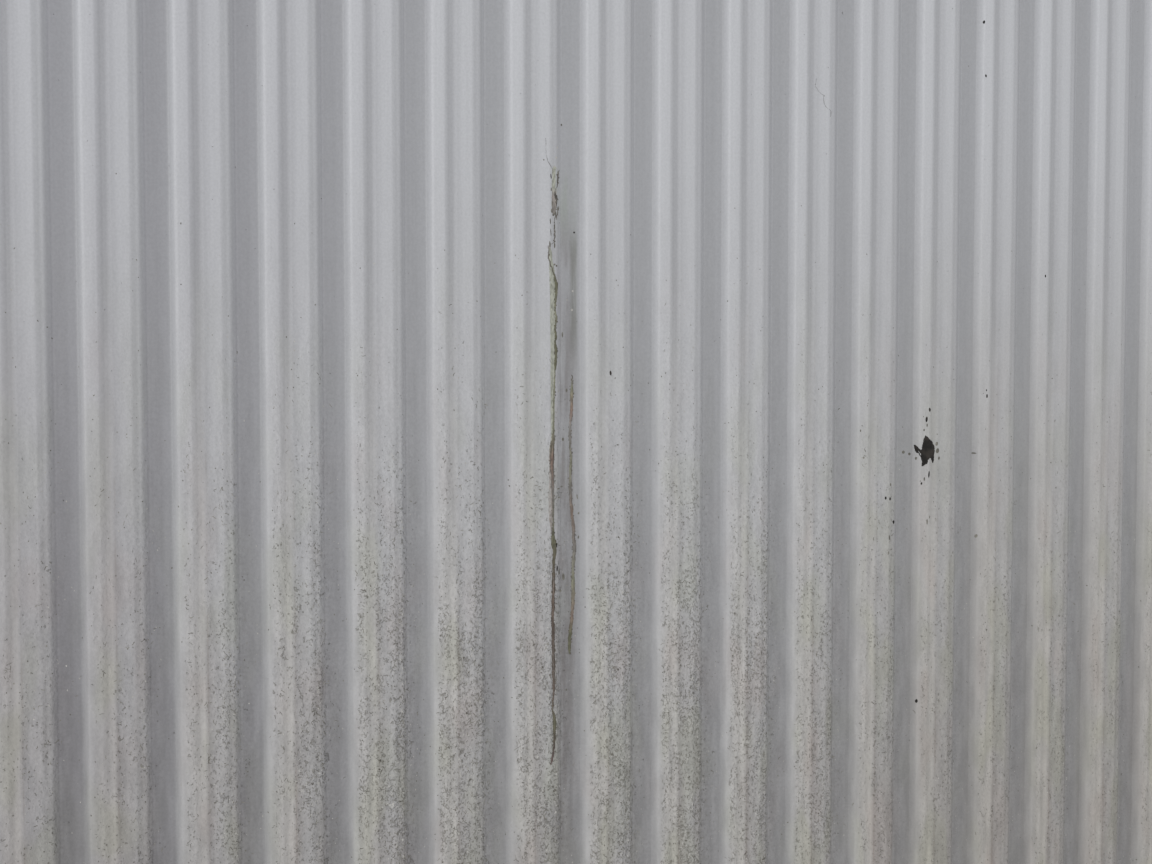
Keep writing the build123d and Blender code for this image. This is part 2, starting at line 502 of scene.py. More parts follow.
FAINT_FLECKS = (
    (17, 4.3, -550.6, 0.8, 1.2), (17, 5.9, -548.4, 0.7, 1.6), (17, 11.3, -557.0, 1.1, 1.9),
    (17, 11.7, -560.2, 1.4, 2.4), (17, 12.4, -563.6, 1.0, 1.6), (16, 27.2, -560.7, 1.5, 1.5),
    (16, 30.4, -561.6, 1.3, 1.3), (17, 1.1, -563.6, 0.7, 1.4), (17, 4.7, -573.1, 0.8, 1.8),
    (16, 19.2, -575.3, 1.1, 1.4), (16, 18.7, -599.4, 0.8, 2.4), (16, 18.3, -606.4, 0.8, 1.6),
    (18, 0.6, -561.7, 1.7, 0.7), (18, 1.6, -600.5, 1.0, 1.8), (16, 5.0, -562.8, 0.9, 1.2),
    (16, 3.3, -550.6, 0.6, 1.2),
    (17, 6.4, -592.8, 0.7, 2.6), (17, 7.9, -590.8, 0.6, 1.5), (11, 19.2, -459.2, 0.8, 1.8),
    (11, 20.0, -460.8, 1.0, 0.9), (11, 20.9, -460.2, 0.8, 1.6), (11, 19.4, -456.5, 0.5, 2.2),
    (11, 19.0, -450.5, 0.5, 1.6), (11, 20.5, -481.0, 0.9, 0.8), (11, 20.9, -486.5, 1.0, 0.6),
    (11, 21.5, -462.0, 0.4, 1.8), (11, 22.4, -458.0, 0.5, 2.2), (11, 24.6, -553.0, 0.9, 1.6),
    (11, 18.6, -463.5, 0.5, 2.4), (11, 18.8, -468.0, 0.4, 3.2), (11, 18.4, -473.0, 0.7, 3.0),
    (11, 20.6, -465.5, 0.5, 2.0), (11, 20.7, -469.4, 0.6, 2.0), (11, 20.6, -473.2, 0.6, 2.4),
    (11, 21.4, -481.5, 0.8, 0.8), (11, 19.9, -484.0, 0.6, 1.4), (11, 24.4, -509.6, 0.6, 2.4),
    (11, 26.2, -532.6, 0.8, 1.6), (11, 22.3, -573.4, 1.3, 0.7), (11, 24.0, -572.6, 0.9, 0.7),
    (11, 22.6, -577.0, 1.4, 0.7), (11, 30.8, -577.0, 0.6, 2.0), (11, 31.4, -584.0, 0.7, 1.0),
    (11, 31.3, -594.0, 0.6, 1.4), (11, 22.6, -608.0, 0.8, 3.0), (11, 24.8, -610.4, 1.1, 3.0),
    (11, 23.4, -616.2, 1.2, 1.0), (11, 26.1, -658.0, 0.7, 1.0), (11, 24.0, -423.5, 0.7, 0.9),
    (11, 15.8, -438.8, 0.6, 0.6),
)
PALE_FLECKS = (
    (11, 28.9, -491.5, 0.9, 0.8), (11, 26.4, -495.2, 0.6, 0.6), (11, 28.5, -499.3, 1.0, 1.0),
    (11, 22.4, -533.0, 0.8, 1.2), (11, 22.0, -487.5, 0.5, 1.0), (11, 22.9, -529.6, 0.6, 0.8),
    (11, 21.8, -433.2, 0.6, 0.9), (11, 21.3, -437.4, 0.8, 0.9), (11, 20.4, -441.1, 1.0, 0.6),
)
FLECK_HEIGHT = 0.065 * MM
FLECK_TURN = 0.1

# Beads of dirt along the edges of the drips: how far apart, how far off the edge, and their shape
BEAD_SEED = 23
BEAD_GAPS = (0.3, 1.6)
BEAD_STRAY = 0.15
BEAD_STRETCH = 1.3
BEAD_TURN = 0.3

# The grains and crooked threads of dirt that stand up from the paint
GRIT_COUNT = 6500
GRIT_SHAPES = 6
GRIT_LENGTH = (0.30 * MM, 0.85 * MM)
GRIT_WIDTH = (0.24 * MM, 0.52 * MM)
GRIT_HEIGHT = 0.07 * MM
GRIT_TURN = 0.35
CRUMB_ROUGHNESS = 0.16
THREAD_COUNT = 4500
THREAD_SHAPES = 10
THREAD_CUTS = (-0.25, 0.0, 0.25)
THREAD_LENGTH = (0.7 * MM, 1.9 * MM)
THREAD_WIDTH = (0.22 * MM, 0.42 * MM)
THREAD_HEIGHT = 0.07 * MM
THREAD_TURN = 0.8
THREAD_BEND = 0.8
THREAD_TAPER = 1.2
THREAD_CROWDING = 1.2
CLUSTER_SIZE = (1, 5)
CLUSTER_ACROSS = 1.1 * MM
CLUSTER_ALONG = 2.6 * MM
EDGE_MARGIN = 4.0 * MM


def strength_at(stops, place):
    """The strength of an effect at a place across a rib."""
    for (start, low), (end, high) in zip(stops, stops[1:]):
        if start <= place <= end:
            return low + (high - low) * (place - start) / (end - start)
    return stops[-1][1]


def smooth_share(value, start, end):
    """How far value has gone from start to end, easing in and out, from 0 to 1."""
    share = min(max((value - start) / (end - start), 0.0), 1.0)
    return share * share * (3.0 - 2.0 * share)


def make_camera():
    data = bpy.data.cameras.new("camera")
    data.sensor_width = SENSOR_WIDTH_MM
    data.lens = FOCAL_PX / FRAME_WIDTH_PX * SENSOR_WIDTH_MM
    data.clip_start = NEAREST_SEEN
    data.clip_end = FARTHEST_SEEN
    camera = bpy.data.objects.new("camera", data)
    bpy.context.scene.collection.objects.link(camera)
    forward = Vector((
        math.sin(CAMERA_YAW) * math.cos(CAMERA_TILT),
        math.sin(CAMERA_TILT),
        -math.cos(CAMERA_YAW) * math.cos(CAMERA_TILT),
    ))
    right = Vector((math.cos(CAMERA_YAW), 0.0, math.sin(CAMERA_YAW)))
    up = right.cross(forward)
    turn = Matrix((right, up, -forward)).transposed()
    height = CAMERA_PITCHES_UP * PITCH
    camera.location = Vector((
        FIRST_RIB_X + (LEFT_RIB + CAMERA_PITCHES_RIGHT) * PITCH,
        MIDDLE_Y - height * forward.y / -forward.z,
        height,
    ))
    camera.rotation_euler = turn.to_euler()
    bpy.context.scene.camera = camera


def make_lights():
    world = bpy.data.worlds.new("soft_room")
    world.use_nodes = True
    world.node_tree.nodes["Background"].inputs["Color"].default_value = ROOM_COLOUR
    world.node_tree.nodes["Background"].inputs["Strength"].default_value = ROOM_STRENGTH
    bpy.context.scene.world = world
    data = bpy.data.lights.new("left_softbox", "AREA")
    data.shape = "RECTANGLE"
    data.size, data.size_y = SOFTBOX_SIZE
    data.energy = SOFTBOX_POWER
    light = bpy.data.objects.new("left_softbox", data)
    light.location = SOFTBOX_PLACE
    direction = Vector((0.0, MIDDLE_Y, 0.0)) - light.location
    light.rotation_euler = direction.to_track_quat("-Z", "Y").to_euler()
    bpy.context.scene.collection.objects.link(light)


def add_node(tree, kind, inputs=(), **settings):
    """Adds a node. Each input is a plain value, or the socket that it is linked from."""
    node = tree.nodes.new(kind)
    for setting, value in settings.items():
        setattr(node, setting, value)
    for socket, value in dict(inputs).items():
        if isinstance(value, bpy.types.NodeSocket):
            tree.links.new(value, node.inputs[socket])
        else:
            node.inputs[socket].default_value = value
    return node


def calculate(tree, operation, first, second=0.0, clamp=False):
    inputs = {0: first, 1: second}
    return add_node(tree, "ShaderNodeMath", inputs, operation=operation, use_clamp=clamp).outputs[0]


def fade(tree, value, start, end, low=0.0, high=1.0):
    """A smooth change from low to high as value goes from start to end."""
    inputs = {"Value": value, "From Min": start, "From Max": end, "To Min": low, "To Max": high}
    node = add_node(tree, "ShaderNodeMapRange", inputs, interpolation_type="SMOOTHSTEP")
    return node.outputs["Result"]


def product(tree, *factors):
    """All the factors multiplied together."""
    result = factors[0]
    for factor in factors[1:]:
        result = calculate(tree, "MULTIPLY", result, factor)
    return result


def beyond(tree, value, crowding, starts, edge):
    """How far value is past a start that moves with the crowding of the dirt."""
    start = fade(tree, crowding, 0.0, 1.0, *starts)
    return fade(tree, calculate(tree, "SUBTRACT", value, start), *edge)


def tint(tree, blend, strength, under, over):
    inputs = {0: strength, 6: under, 7: over}
    return add_node(tree, "ShaderNodeMix", inputs, data_type="RGBA", blend_type=blend).outputs[2]


def film_over(tree, colour, share, film):
    """The colour under a film that covers it by a share."""
    return tint(tree, "MULTIPLY", share, colour, film)


def colour_ramp(tree, share, stops):
    """The colour at a share of the way through the stops, each a place from 0 to 1 and a colour."""
    ramp = add_node(tree, "ShaderNodeValToRGB", {"Fac": share})
    elements = ramp.color_ramp.elements
    for place, colour in stops[1:-1]:
        elements.new(place).color = colour
    elements[0].color = stops[0][1]
    elements[len(elements) - 1].color = stops[-1][1]
    return ramp.outputs["Color"]


def across_rib(tree, place, stops):
    """The strength of an effect at the place across a rib, from 0 to 1."""
    greys = [(where / PITCH, (strength, strength, strength, 1.0)) for where, strength in stops]
    return colour_ramp(tree, place, greys)


def make_mottle_group():
    """Irregular patches of a given grain, drawn out along the ribs, from 0 to 1."""
    tree = bpy.data.node_groups.new("mottle", "ShaderNodeTree")
    tree.interface.new_socket("Position", in_out="INPUT", socket_type="NodeSocketVector")
    for name in ("Grain", "Stretch", "Seed", "Detail"):
        tree.interface.new_socket(name, in_out="INPUT", socket_type="NodeSocketFloat")
    tree.interface.new_socket("Amount", in_out="OUTPUT", socket_type="NodeSocketFloat")
    given = add_node(tree, "NodeGroupInput").outputs
    fineness = calculate(tree, "DIVIDE", 1.0, given["Grain"])
    drawn_out = calculate(tree, "DIVIDE", fineness, given["Stretch"])
    scale = add_node(tree, "ShaderNodeCombineXYZ", {"X": fineness, "Y": drawn_out, "Z": fineness})
    inputs = {0: given["Position"], 1: scale.outputs[0], 2: given["Seed"]}
    place = add_node(tree, "ShaderNodeVectorMath", inputs, operation="MULTIPLY_ADD")
    inputs = {"Vector": place.outputs[0], "Scale": 1.0, "Detail": given["Detail"]}
    noise = add_node(tree, "ShaderNodeTexNoise", inputs)
    add_node(tree, "NodeGroupOutput", {"Amount": noise.outputs[0]})
    return tree


MOTTLE = make_mottle_group()


def patches(tree, position, grain, stretch=1.0, seed=0.0, detail=2.0):
    """The mottle effect, placed with its own values."""
    node = add_node(tree, "ShaderNodeGroup", node_tree=MOTTLE)
    tree.links.new(position, node.inputs["Position"])
    node.inputs["Grain"].default_value = grain
    node.inputs["Stretch"].default_value = stretch
    node.inputs["Seed"].default_value = seed
    node.inputs["Detail"].default_value = detail
    return node.outputs["Amount"]


def new_material(name):
    material = bpy.data.materials.new(name)
    material.use_nodes = True
    tree = material.node_tree
    position = add_node(tree, "ShaderNodeTexCoord").outputs["Object"]
    return material, tree, tree.nodes["Principled BSDF"], position


def make_floor():
    bpy.ops.mesh.primitive_plane_add(size=FLOOR_SIZE, location=(0.0, 0.0, 0.0))
    floor = bpy.context.object
    floor.name = "floor"
    material = bpy.data.materials.new("pale_floor")
    material.use_nodes = True
    shader = material.node_tree.nodes["Principled BSDF"]
    shader.inputs["Base Color"].default_value = FLOOR_GREY
    shader.inputs["Roughness"].default_value = FLOOR_ROUGHNESS
    floor.data.materials.append(material)


def make_painted_steel():
    material, tree, shader, position = new_material("painted_steel_finish")
    axes = add_node(tree, "ShaderNodeSeparateXYZ", {0: position}).outputs
    along = axes["Y"]
    from_first_rib = calculate(tree, "SUBTRACT", axes["X"], FIRST_RIB_X)
    place = calculate(tree, "FRACT", calculate(tree, "DIVIDE", from_first_rib, PITCH))

    # Paint, chalked pale on the ribs, darker and bluish in the troughs, the groove and the ledge as painted
    # shade of the recesses, with a painted highlight at the flank top and painted light on the far wall and
    # its foot
    chalk_and_shade = across_rib(tree, place, CHALK_AND_PAINTED_SHADE)
    colour = tint(tree, "MIX", chalk_and_shade, SHADED_TROUGH_PAINT, CHALKED_LIT_PAINT)
    streaks = patches(tree, position, *STREAKS)
    grain = patches(tree, position, *PAINT_GRAIN)
    uneven = calculate(tree, "ADD", fade(tree, streaks, *STREAK_SHADE), fade(tree, grain, *GRAIN_SHADE))
    colour = tint(tree, "MULTIPLY", 1.0, colour, uneven)

    # Pale dust that fills the groove towards the lower end
    cloud = patches(tree, position, *CLOUD)
    dusty = product(tree, fade(tree, along, *DUST_REACH), across_rib(tree, place, DUST_SETTLING))
    dusty = calculate(tree, "MULTIPLY", dusty, fade(tree, cloud, *DUST_IN_CLOUDS), clamp=True)
    colour = tint(tree, "MIX", dusty, colour, PALE_DUST)

    # Grey film over everything, darker towards the lower end: partly dirt, and partly painted shade that
    # stands in for light falling off down the sheet
    delay = product(tree, across_rib(tree, place, LATER_FILM_AND_SHADE), FILM_AND_SHADE_DELAY)
    filmed_and_shaded = fade(tree, calculate(tree, "ADD", along, delay), *GREY_FILM_AND_SHADE_REACH)
    colour = film_over(tree, colour, filmed_and_shaded, GREY_FILM_AND_SHADE)

    # Darker towards the left of the sheet, most in the troughs; thin films towards its lower right and its
    # far lower left
    leftward = product(tree, fade(tree, axes["X"], *LEFTWARD_DARKENING_REACH), across_rib(tree, place, LEFTWARD_DARKENING_ACROSS))
    colour = film_over(tree, colour, leftward, LEFTWARD_DARKENING)
    rightward = product(tree, fade(tree, axes["X"], *RIGHT_FILM_REACH),
                        across_rib(tree, place, RIGHT_SETTLING), fade(tree, along, *RIGHT_FILM_START))
    colour = film_over(tree, colour, rightward, RIGHT_FILM)
    far_left = product(tree, fade(tree, axes["X"], *LOWER_LEFT_FILM_REACH),
                       fade(tree, along, *LOWER_LEFT_FILM_START))
    colour = film_over(tree, colour, far_left, LOWER_LEFT_FILM)

    # Soft drawn-out clouds in the film
    haze = patches(tree, position, *HAZE)
    hazy = product(tree, filmed_and_shaded, fade(tree, haze, *HAZE_SHADE))
    colour = tint(tree, "MULTIPLY", 1.0, colour, calculate(tree, "ADD", hazy, 1.0))

    # Brown mud film, with olive and pinkish patches
    muddy_along = calculate(tree, "ADD", along, fade(tree, cloud, *MUD_EDGE_STRAY))
    muddy = product(tree, fade(tree, muddy_along, *MUD_REACH), across_rib(tree, place, MUD_SETTLING))
    colour = film_over(tree, colour, muddy, MUD_FILM)
    tints = patches(tree, position, *TINTS)
    rise = product(tree, across_rib(tree, place, HIGHER_SPLASH), SPLASH_RISE)
    splashed = fade(tree, calculate(tree, "SUBTRACT", along, rise), *SPECK_REACH)
    tinted = product(tree, splashed, across_rib(tree, place, TINTED_PATCHES))
    colour = film_over(tree, colour, product(tree, tinted, fade(tree, tints, *OLIVE_SHARE)), OLIVE_FILM)
    colour = film_over(tree, colour, product(tree, tinted, fade(tree, tints, *PINK_SHARE)), PINK_FILM)

    # Towards the left and the right of the sheet the splashes are thinner
    splashed = product(tree, splashed, fade(tree, axes["X"], *LEFT_THINNING),
                       fade(tree, axes["X"], *RIGHT_THINNING))

    # A line of mud where the groove meets the wide crest, and smudges beside the foot of the wall
    line_gaps = patches(tree, position, *LINE_GAPS)
    lined = product(tree, across_rib(tree, place, GROOVE_LINE), fade(tree, line_gaps, *LINE_SHARE),
                    fade(tree, muddy_along, *DUST_REACH))
    colour = film_over(tree, colour, lined, GROOVE_LINE_MUD)
    smudge = patches(tree, position, *SMUDGE)
    smudged = product(tree, across_rib(tree, place, TROUGH_SMUDGES), fade(tree, smudge, *SMUDGE_SHARE),
                      splashed)
    colour = film_over(tree, colour, smudged, SMUDGE_FILM)

    # The wash that the drips left in their trough: greenish at the top, brownish and streaky below
    rib_number = calculate(tree, "FLOOR", calculate(tree, "DIVIDE", from_first_rib, PITCH))
    on_drip_rib = calculate(tree, "COMPARE", rib_number, DRIP_RIB)
    runs = patches(tree, position, *WASH_RUNS)
    washed = product(tree, on_drip_rib, across_rib(tree, place, DRIP_WASH), fade(tree, runs, *WASH_IN_RUNS))
    upper = product(tree, fade(tree, along, *UPPER_WASH_START), fade(tree, along, *UPPER_WASH_END))
    colour = film_over(tree, colour, product(tree, washed, upper), GREEN_WASH)
    lower = product(tree, fade(tree, along, *LOWER_WASH_START), fade(tree, along, *LOWER_WASH_END))
    colour = film_over(tree, colour, product(tree, washed, lower), BROWN_WASH)
    smeared = product(tree, on_drip_rib, across_rib(tree, place, DRIP_SMEAR), fade(tree, along, *SMEAR_START),
                      fade(tree, along, *SMEAR_END), fade(tree, runs, *SMEAR_IN_RUNS))
    colour = film_over(tree, colour, smeared, DRIP_SMEAR_FILM)

    # A crust of splashed dirt, light and dark, gathered in drawn-out clumps
    settling = across_rib(tree, place, SPECK_SETTLING)
    clumps = patches(tree, position, *CLUMPS)
    crowding = calculate(tree, "MULTIPLY", product(tree, splashed, settling),
                         fade(tree, clumps, *CROWDING_IN_CLUMPS), clamp=True)
    crust = patches(tree, position, *CRUST)
    crusted = product(tree, crowding, fade(tree, crust, *CRUST_SHADE))
    colour = tint(tree, "MULTIPLY", 1.0, colour, calculate(tree, "ADD", crusted, 1.0))

    # Thin crooked lines, dark specks and pale crumbs in the crust; the pale crumbs are partly pale dirt and
    # partly painted highlights of raised dirt
    crooked = patches(tree, position, *CROOKED_LINES)
    off_line = calculate(tree, "ABSOLUTE", calculate(tree, "SUBTRACT", crooked, 0.5))
    breaks = patches(tree, position, *LINE_BREAKS)
    lines = product(tree, fade(tree, off_line, *LINE_EDGE),
                    beyond(tree, breaks, crowding, LINE_START, BREAK_EDGE))
    small = patches(tree, position, *SMALL_SPECKS)
    specks = calculate(tree, "MAXIMUM", beyond(tree, small, crowding, SPECK_START, SPECK_EDGE), lines)
    colour = film_over(tree, colour, specks, SPECK_SHADE)
    crumb_start = fade(tree, crowding, 0.0, 1.0, *CRUMB_START)
    crumbs = fade(tree, calculate(tree, "SUBTRACT", crumb_start, small), *CRUMB_EDGE)
    colour = tint(tree, "MIX", crumbs, colour, PALE_CRUMB_AND_HIGHLIGHT)
    dark_specks = beyond(tree, crust, crowding, DARK_SPECK_START, DARK_SPECK_EDGE)
    colour = film_over(tree, colour, dark_specks, DARK_SPECK_SHADE)

    # The underside has a plain backing coat, and the cut edges are bare steel
    normal = add_node(tree, "ShaderNodeNewGeometry").outputs["Normal"]
    facing_up = add_node(tree, "ShaderNodeSeparateXYZ", {0: normal}).outputs["Z"]
    underside = calculate(tree, "LESS_THAN", facing_up, -EDGE_FACING)
    cut_edge = calculate(tree, "LESS_THAN", calculate(tree, "ABSOLUTE", facing_up), EDGE_FACING)
    backing = tint(tree, "MULTIPLY", fade(tree, cloud, *BACKING_PATCHES), BACKING_COAT, GREY_FILM_AND_SHADE)
    colour = tint(tree, "MIX", underside, colour, backing)
    colour = tint(tree, "MIX", cut_edge, colour, BARE_STEEL)
    tree.links.new(colour, shader.inputs["Base Color"])

    # Chalk and dirt are duller than clean paint
    dullness = calculate(tree, "MAXIMUM", fade(tree, filmed_and_shaded, *DULL_FILM), specks)
    roughness = fade(tree, dullness, 0.0, 1.0, CLEAN_ROUGHNESS, DULL_ROUGHNESS)
    roughness = calculate(tree, "ADD", roughness, fade(tree, cloud, *ROUGHNESS_PATCHES))
    tree.links.new(roughness, shader.inputs["Roughness"])
    tree.links.new(cut_edge, shader.inputs["Metallic"])

    # Specks and crumbs stand up a little, and the paint has a fine grain
    raised = calculate(tree, "ADD", calculate(tree, "ADD", specks, dark_specks), crumbs)
    relief = product(tree, raised, SPECK_RELIEF)
    relief = calculate(tree, "ADD", relief, product(tree, crust, crowding, CRUST_RELIEF))
    relief = calculate(tree, "ADD", relief, product(tree, grain, GRAIN_RELIEF))
    bump = add_node(tree, "ShaderNodeBump", {"Strength": 1.0, "Distance": 1.0, "Height": relief})
    tree.links.new(bump.outputs["Normal"], shader.inputs["Normal"])
    return material


def make_dirt_finish(name, dark, light, grain):
    """Dried dirt that goes from one colour to another in patches."""
    material, tree, shader, position = new_material(name)
    shade = patches(tree, position, grain, seed=DIRT_SEED)
    colour = tint(tree, "MIX", fade(tree, shade, *DIRT_SHARE), dark, light)
    tree.links.new(colour, shader.inputs["Base Color"])
    shader.inputs["Roughness"].default_value = DIRT_ROUGHNESS
    shader.inputs["Specular IOR Level"].default_value = DIRT_SPECULAR
    return material


def make_drip_finish(name, colours):
    """Dried liquid whose colour changes down the sheet."""
    material, tree, shader, position = new_material(name)
    along = add_node(tree, "ShaderNodeSeparateXYZ", {0: position}).outputs["Y"]
    top = colours[0][0] * MM
    bottom = colours[-1][0] * MM
    inputs = {"Value": along, "From Min": top, "From Max": bottom}
    share = add_node(tree, "ShaderNodeMapRange", inputs).outputs["Result"]
    stops = [((height * MM - top) / (bottom - top), colour + (1.0,)) for height, colour in colours]
    shade = patches(tree, position, *DRIP_SHADES)
    colour = tint(tree, "MULTIPLY", 1.0, colour_ramp(tree, share, stops), fade(tree, shade, *DRIP_SHADE))
    tree.links.new(colour, shader.inputs["Base Color"])
    shader.inputs["Roughness"].default_value = DRIP_ROUGHNESS
    return material


def paint_below(x, y):
    """The point of the painted face at a place of the sheet, and the way that it faces there."""
    return SHEET.ray_cast(Vector((x, y, 1.0)), Vector((0.0, 0.0, -1.0)))[1:3]


def on_rib(rib, across, along):
    """The place on the sheet of a point given in millimetres across a rib and along the sheet."""
    return FIRST_RIB_X + rib * PITCH + across * MM, along * MM


def attach(piece, finish):
    piece.data.materials.append(finish)
    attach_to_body(piece, "root")


def give_underside(piece):
    """Closes an open skin of dirt with an underside that lies within the sheet."""
    bpy.context.view_layer.objects.active = piece
    modifier = piece.modifiers.new("underside", "SOLIDIFY")
    modifier.thickness = STRIP_THICKNESS
    modifier.offset = -1.0
    bpy.ops.object.modifier_apply(modifier="underside")
    bpy.ops.object.shade_smooth()


def between(stations, along):
    """The place across the rib and the width at a height between two stations."""
    for (upper, upper_across, upper_width), (lower, lower_across, lower_width) in zip(stations, stations[1:]):
        if along >= lower:
            share = smooth_share(along, upper, lower)
            return (upper_across + (lower_across - upper_across) * share,
                    upper_width + (lower_width - upper_width) * share)
    return stations[-1][1:]


def ragged_edges(chance, rows):
    """How far each row's left and right edge strays, in millimetres, and how full the row is."""
    strays = []
    for side in range(2):
        turns = rows // RAGGED_STEP + 2
        coarse = [chance.uniform(-COARSE_RAGGEDNESS, COARSE_RAGGEDNESS) for turn in range(turns)]
        stray = []
        for row in range(rows + 1):
            turn, step = divmod(row, RAGGED_STEP)
            share = step / RAGGED_STEP
            stray.append(coarse[turn] * (1.0 - share) + coarse[turn + 1] * share
                         + chance.uniform(-FINE_RAGGEDNESS, FINE_RAGGEDNESS))
        strays.append(stray)
    return [(left, right, chance.uniform(*STRIP_FULLNESS)) for left, right in zip(*strays)]


def lay_strip(name, rib, stations, crown, finish):
    """A strip of dried liquid laid through the stations, domed a little, with ragged edges."""
    chance = random.Random(len(stations))
    top = stations[0][0]
    bottom = stations[-1][0]
    rows = max(2, round((top - bottom) * MM / STRIP_STEP))
    edges = ragged_edges(chance, rows)
    bpy.ops.object.select_all(action="DESELECT")
    bpy.ops.mesh.primitive_grid_add(x_subdivisions=STRIP_COLUMNS, y_subdivisions=rows, size=1.0)
    strip = bpy.context.object
    strip.name = name
    for vertex in strip.data.vertices:
        side = vertex.co.x * 2.0
        down = 0.5 - vertex.co.y
        along = top + (bottom - top) * down
        across, width = between(stations, along)
        left_shift, right_shift, rise = edges[min(rows, round(down * rows))]
        shift = (left_shift if side < 0.0 else right_shift) * abs(side)
        spot, normal = paint_below(*on_rib(rib, across + side * width / 2.0 + shift, along))
        room = SHEET_HIGH.z + PROUD_LIMIT - spot.z
        height = min(crown * rise, room)
        vertex.co = spot + normal * ((height + STRIP_SINK) * (1.0 - side * side) - STRIP_SINK)
    give_underside(strip)
    attach(strip, finish)


def lay_splat(finish):
    """A splash of dirt with an uneven outline, thickest inside."""
    chance = random.Random(SPLAT_SEED)
    middle_across, middle_along = SPLAT_MIDDLE
    corners = []
    for across, along in SPLAT_OUTLINE:
        angle = math.atan2(along - middle_along, across - middle_across) % math.tau
        corners.append((angle, math.hypot(across - middle_across, along - middle_along)))
    corners.sort()
    corners = [(corners[-1][0] - math.tau, corners[-1][1])] + corners
    corners.append((corners[1][0] + math.tau, corners[1][1]))
    reaches = []
    for number in range(SPLAT_POINTS):
        reach = strength_at(corners, math.tau * number / SPLAT_POINTS)
        reaches.append(reach * chance.uniform(*SPLAT_OUTLINE_STRAY))
    bpy.ops.object.select_all(action="DESELECT")
    bpy.ops.mesh.primitive_circle_add(vertices=SPLAT_POINTS, radius=1.0, fill_type="NGON")
    splat = bpy.context.object
    splat.name = "dark_splat"
    bpy.ops.object.mode_set(mode="EDIT")
    bpy.ops.mesh.select_all(action="SELECT")
    for width in SPLAT_RING_WIDTHS:
        bpy.ops.mesh.inset(thickness=width)
    bpy.ops.mesh.poke()
    bpy.ops.object.mode_set(mode="OBJECT")
    for vertex in splat.data.vertices:
        share = min(math.hypot(vertex.co.x, vertex.co.y), 1.0)
        turn = math.atan2(vertex.co.y, vertex.co.x) % math.tau
        reach = reaches[round(turn / math.tau * SPLAT_POINTS) % SPLAT_POINTS] * share
        spot, normal = paint_below(*on_rib(SPLAT_RIB, middle_across + reach * math.cos(turn),
                                           middle_along + reach * math.sin(turn)))
        rise = (SPLAT_HEIGHT + STRIP_SINK) * (1.0 - share ** 4) - STRIP_SINK
        vertex.co = spot + normal * rise * (chance.uniform(*SPLAT_THINNING) if rise > 0.0 else 1.0)
    give_underside(splat)
    attach(splat, finish)
    for name, stations in SPLAT_TAILS.items():
        lay_strip(name, SPLAT_RIB, stations, SPLAT_HEIGHT, finish)


def make_crumbs(roundness):
    """A few small crumbs, each a roughened ball one unit across."""
    shapes = []
    for number in range(GRIT_SHAPES):
        bpy.ops.object.select_all(action="DESELECT")
        bpy.ops.mesh.primitive_ico_sphere_add(subdivisions=roundness, radius=0.5)
        crumb = bpy.context.object
        bpy.ops.object.mode_set(mode="EDIT")
        bpy.ops.mesh.select_all(action="SELECT")
        bpy.ops.transform.vertex_random(offset=CRUMB_ROUGHNESS / roundness ** 2, seed=number + 1)
        bpy.ops.object.mode_set(mode="OBJECT")
        points = [vertex.co.copy() for vertex in crumb.data.vertices]
        faces = [tuple(face.vertices) for face in crumb.data.polygons]
        shapes.append((points, faces))
        bpy.data.objects.remove(crumb)
    return shapes


def make_threads():
    """A few short crooked threads, each one unit long and wide, with a ridge along the top."""
    shapes = []
    for number in range(THREAD_SHAPES):
        chance = random.Random(number)
        bends = {}
        bpy.ops.object.select_all(action="DESELECT")
        bpy.ops.mesh.primitive_cylinder_add(vertices=3, radius=0.5, depth=1.0,
                                            rotation=(math.pi / 2.0, 0.0, 0.0))
        bpy.ops.object.transform_apply(location=False, rotation=True, scale=False)
        thread = bpy.context.object
        bpy.ops.object.mode_set(mode="EDIT")
        for cut in THREAD_CUTS:
            bpy.ops.mesh.select_all(action="SELECT")
            bpy.ops.mesh.bisect(plane_co=(0.0, cut, 0.0), plane_no=(0.0, 1.0, 0.0))
        bpy.ops.object.mode_set(mode="OBJECT")
        points = []
        for vertex in thread.data.vertices:
            station = round(vertex.co.y, 2)
            if station not in bends:
                bends[station] = chance.uniform(-THREAD_BEND, THREAD_BEND)
            taper = 1.0 - THREAD_TAPER * station * station
            points.append(Vector((vertex.co.x * taper + bends[station], vertex.co.y, vertex.co.z * taper)))
        faces = [tuple(face.vertices) for face in thread.data.polygons]
        shapes.append((points, faces))
        bpy.data.objects.remove(thread)
    return shapes


class DirtPile:
    """Many small lumps of dirt laid on the painted face and gathered in one piece."""

    def __init__(self, name, shapes):
        self.name = name
        self.shapes = shapes
        self.points = []
        self.faces = []

    def lay(self, x, y, size, turn, chance):
        shape_points, shape_faces = self.shapes[chance.randrange(len(self.shapes))]
        first = len(self.points)
        for point in shape_points:
            side = point.x * size.x
            ahead = point.y * size.y
            spot, normal = paint_below(x + side * math.cos(turn) - ahead * math.sin(turn),
                                       y + side * math.sin(turn) + ahead * math.cos(turn))
            self.points.append(spot + normal * max(point.z * size.z, -STRIP_SINK))
        self.faces.extend(tuple(first + corner for corner in face) for face in shape_faces)

    def finish(self, material):
        mesh = bpy.data.meshes.new(self.name)
        mesh.from_pydata(self.points, [], self.faces)
        piece = bpy.data.objects.new(self.name, mesh)
        bpy.context.scene.collection.objects.link(piece)
        attach(piece, material)


